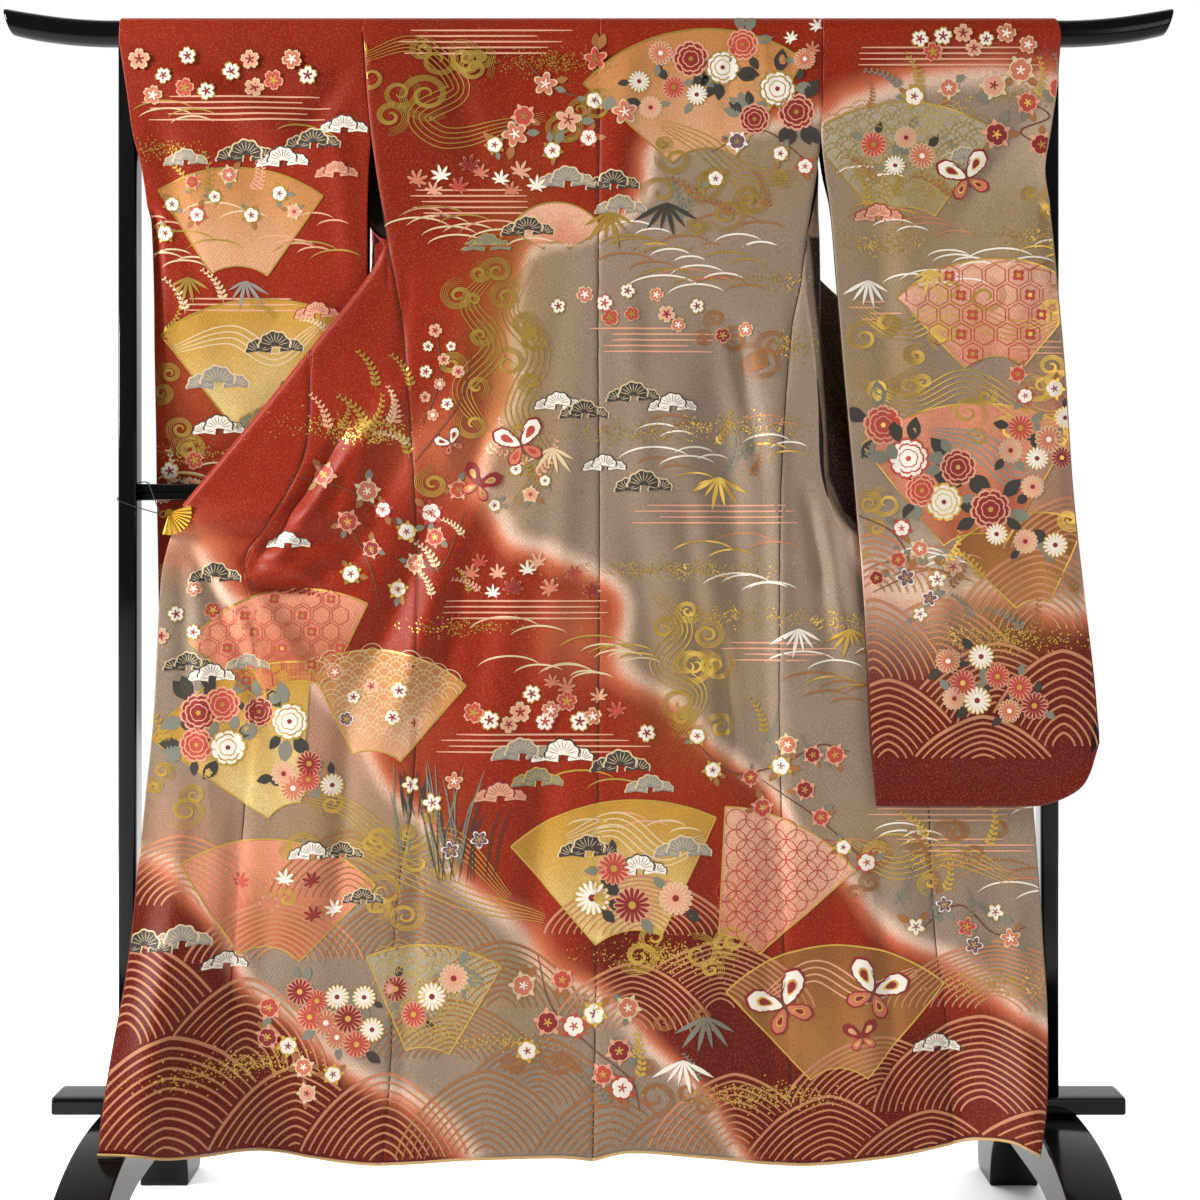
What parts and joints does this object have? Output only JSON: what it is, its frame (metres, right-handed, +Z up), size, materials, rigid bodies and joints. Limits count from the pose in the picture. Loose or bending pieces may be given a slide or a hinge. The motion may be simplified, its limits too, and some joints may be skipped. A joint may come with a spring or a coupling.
{
  "type": "furisode kimono on a kimono stand",
  "caption": "Long-sleeved formal kimono hung over the top rail of a black lacquered stand, its back to -Y, one front corner drawn out and clipped to the post.",
  "frame": {"origin": "on the floor, under the middle of the stand", "axes": "+Z up, +X along the top rail, -Y is the side that the back of the kimono faces"},
  "size_m": [1.634, 0.6, 1.7151],
  "materials": {
    "silk_red": "printed crepe silk, vermilion ground",
    "silk_grey": "printed figured silk, grey-beige ground",
    "silk_lining": "plain silk lining and hem roll",
    "black_lacquer": "wood under black gloss lacquer",
    "gilt": "gilt metal",
    "thread": "dark twisted thread"
  },
  "bodies": {
    "root": {"back_left": "silk_red", "back_right": "silk_grey", "front_left": "silk_red", "front_right": "silk_grey", "okumi_left": "silk_red", "okumi_right": "silk_red", "sleeve_left": "silk_red", "sleeve_right": "silk_grey", "collar": "silk_lining", "hem_back_left": "silk_lining", "hem_back_right": "silk_lining", "hem_front_left": "silk_lining", "hem_front_right": "silk_lining", "hem_okumi_left": "silk_lining", "hem_okumi_right": "silk_lining", "fan_clip": "gilt", "clip_thread": "thread", "top_rail": "black_lacquer", "post_left": "black_lacquer", "post_right": "black_lacquer", "mid_rail": "black_lacquer", "base_beam": "black_lacquer", "foot_left": "black_lacquer", "foot_right": "black_lacquer"}
  },
  "joints": []
}
